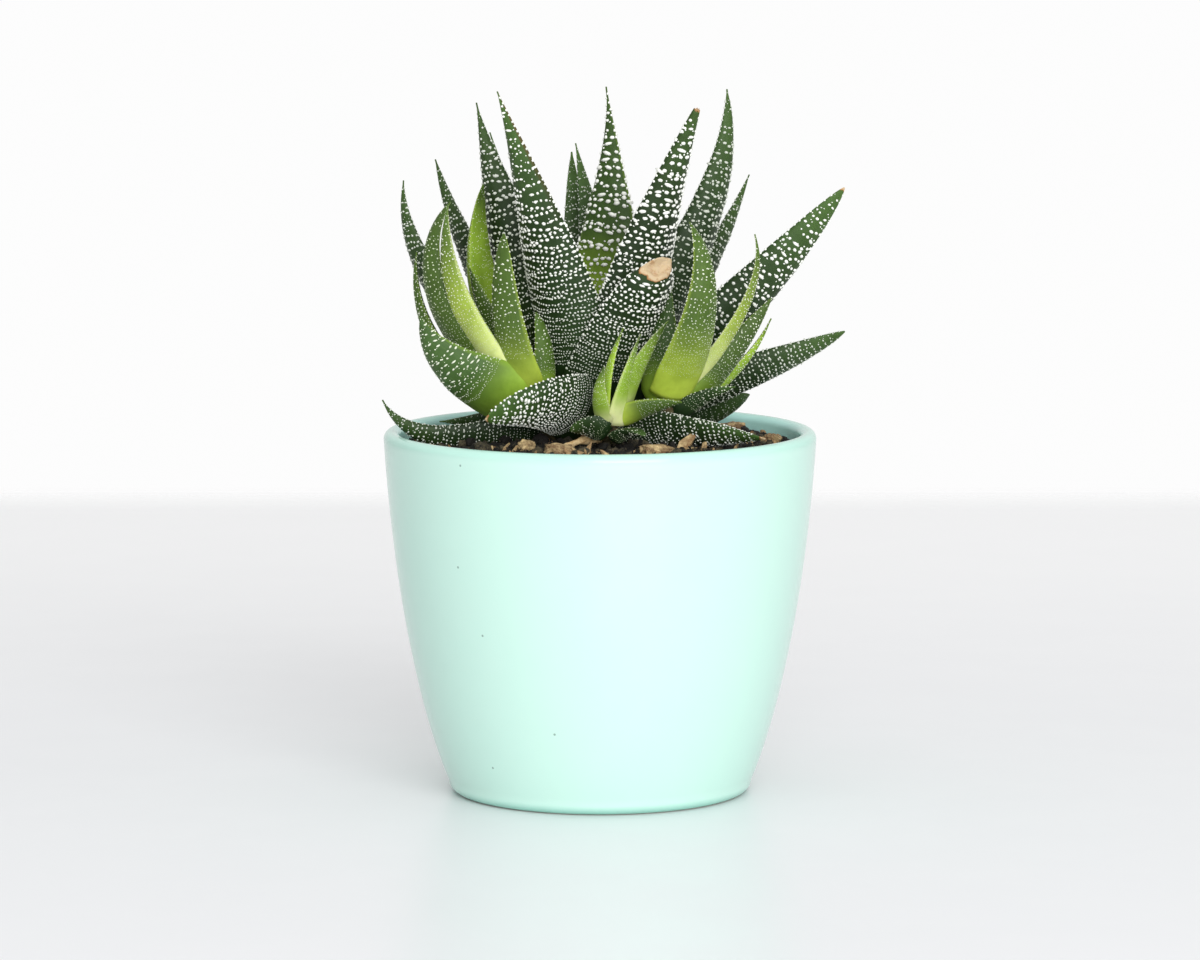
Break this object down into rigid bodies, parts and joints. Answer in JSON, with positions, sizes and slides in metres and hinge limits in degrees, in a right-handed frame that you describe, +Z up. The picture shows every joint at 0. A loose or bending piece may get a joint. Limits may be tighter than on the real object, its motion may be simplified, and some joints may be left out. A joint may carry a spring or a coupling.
{
  "type": "potted haworthia",
  "caption": "Haworthia rosette with pointed, white-tubercled leaves and three offsets, growing in soil in a small tapered mint glazed pot.",
  "frame": {"origin": "centre of the pot's flat underside", "axes": "+Z up through the pot's axis, +X to the right and +Y to the back as the plant is seen from its front"},
  "size_m": [0.0855, 0.08, 0.1307],
  "materials": {
    "mint_glaze": "glossy glaze",
    "potting_soil": "matte, coarse",
    "bark": "matte",
    "dry_stalk": "matte",
    "stem": "satin",
    "mature_leaf": "satin with raised white tubercles",
    "young_leaf": "satin"
  },
  "bodies": {
    "root": {"bark_chip_1": "bark", "bark_chip_2": "bark", "bark_chip_3": "bark", "bark_chip_4": "bark", "bark_chip_5": "bark", "bark_chip_6": "bark", "bark_chip_7": "bark", "dry_stalk": "dry_stalk", "front_leaf_01": "young_leaf", "front_leaf_02": "young_leaf", "front_leaf_03": "young_leaf", "front_leaf_04": "young_leaf", "front_leaf_05": "young_leaf", "front_leaf_06": "young_leaf", "front_leaf_07": "young_leaf", "front_offset_stem": "stem", "left_leaf_01": "young_leaf", "left_leaf_02": "young_leaf", "left_leaf_03": "young_leaf", "left_leaf_04": "young_leaf", "left_leaf_05": "young_leaf", "left_leaf_06": "young_leaf", "left_leaf_07": "young_leaf", "left_leaf_08": "young_leaf", "left_offset_stem": "stem", "main_leaf_01": "mature_leaf", "main_leaf_02": "mature_leaf", "main_leaf_03": "mature_leaf", "main_leaf_04": "mature_leaf", "main_leaf_05": "mature_leaf", "main_leaf_06": "mature_leaf", "main_leaf_07": "mature_leaf", "main_leaf_08": "mature_leaf", "main_leaf_09": "mature_leaf", "main_leaf_10": "mature_leaf", "main_leaf_11": "mature_leaf", "main_leaf_12": "mature_leaf", "main_leaf_13": "mature_leaf", "main_leaf_14": "mature_leaf", "main_leaf_15": "mature_leaf", "main_leaf_16": "mature_leaf", "main_leaf_17": "mature_leaf", "main_leaf_18": "mature_leaf", "main_leaf_19": "mature_leaf", "main_leaf_20": "mature_leaf", "main_leaf_21": "mature_leaf", "main_leaf_22": "mature_leaf", "main_leaf_23": "mature_leaf", "main_stem": "stem", "pot": "mint_glaze", "right_leaf_01": "young_leaf", "right_leaf_02": "young_leaf", "right_leaf_03": "young_leaf", "right_leaf_04": "young_leaf", "right_leaf_05": "young_leaf", "right_leaf_06": "young_leaf", "right_offset_stem": "stem", "soil": "potting_soil"}
  },
  "joints": []
}
